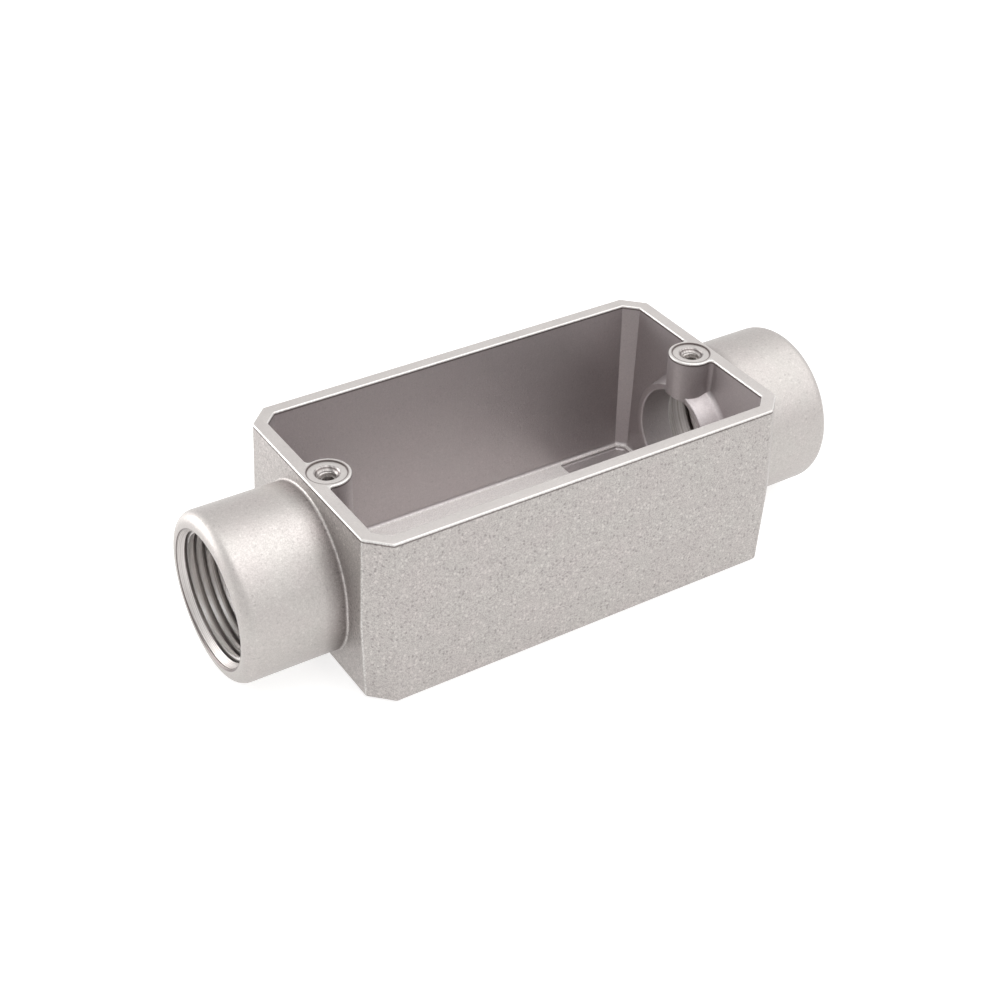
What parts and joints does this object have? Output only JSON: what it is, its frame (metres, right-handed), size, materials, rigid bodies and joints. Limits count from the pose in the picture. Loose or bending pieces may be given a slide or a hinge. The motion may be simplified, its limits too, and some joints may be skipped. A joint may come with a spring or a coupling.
{
  "type": "straight-through conduit body",
  "caption": "Cast straight-through conduit body: an open-top box with chamfered corners, a threaded hub on each end wall and a tapped cover screw boss at each end.",
  "frame": {"origin": "under the middle of the box, on the plane that its flat back rests on", "axes": "+X along the conduit from hub to hub, +Y across the box, +Z out of the open face that the cover closes"},
  "size_m": [0.165, 0.0646, 0.0447],
  "materials": {
    "cast_aluminium": "shot-blasted sand casting, pale warm grey, with machined threads, rim and spot faces"
  },
  "bodies": {
    "root": {"body_casting": "cast_aluminium"}
  },
  "joints": []
}
